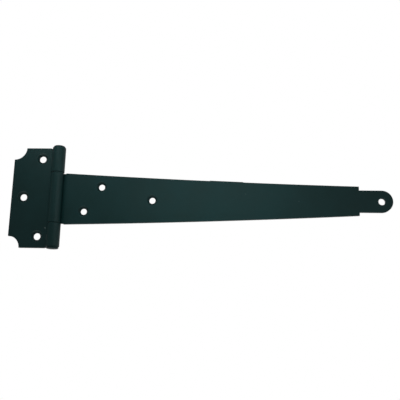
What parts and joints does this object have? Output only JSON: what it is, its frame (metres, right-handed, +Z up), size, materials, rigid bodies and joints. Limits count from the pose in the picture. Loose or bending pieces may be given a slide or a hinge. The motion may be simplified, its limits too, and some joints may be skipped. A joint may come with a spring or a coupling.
{
  "type": "tee hinge",
  "caption": "Surface-mounted tee hinge of painted sheet steel: a short cross plate, a long tapering strap with a round-ended tongue, and a riveted pin.",
  "frame": {"origin": "on the cross plate's mounting face, at its mid-height, 18 mm from the pin's axis and 13 mm from the outer screw hole", "axes": "+X towards the strap's tip, +Y into the post and the gate, +Z up along the pin; the barrel stands out towards -Y"},
  "size_m": [0.3421, 0.012, 0.0952],
  "materials": {
    "plate_paint": "satin black with a green cast, sprayed over curled sheet steel",
    "strap_paint": "satin black with a green cast, sprayed over flat sheet steel",
    "pin_paint": "satin black with a green cast, thin over the riveted ends"
  },
  "bodies": {
    "cross_plate": {"cross_plate": "plate_paint", "pin": "pin_paint"},
    "strap": {"strap": "strap_paint"}
  },
  "joints": [
    {"name": "strap_swing", "type": "hinge", "parent": "cross_plate", "child": "strap", "pos_m": [0.018, -0.006, 0], "axis": [0, 0, 1], "range_deg": [-180, 98]}
  ]
}
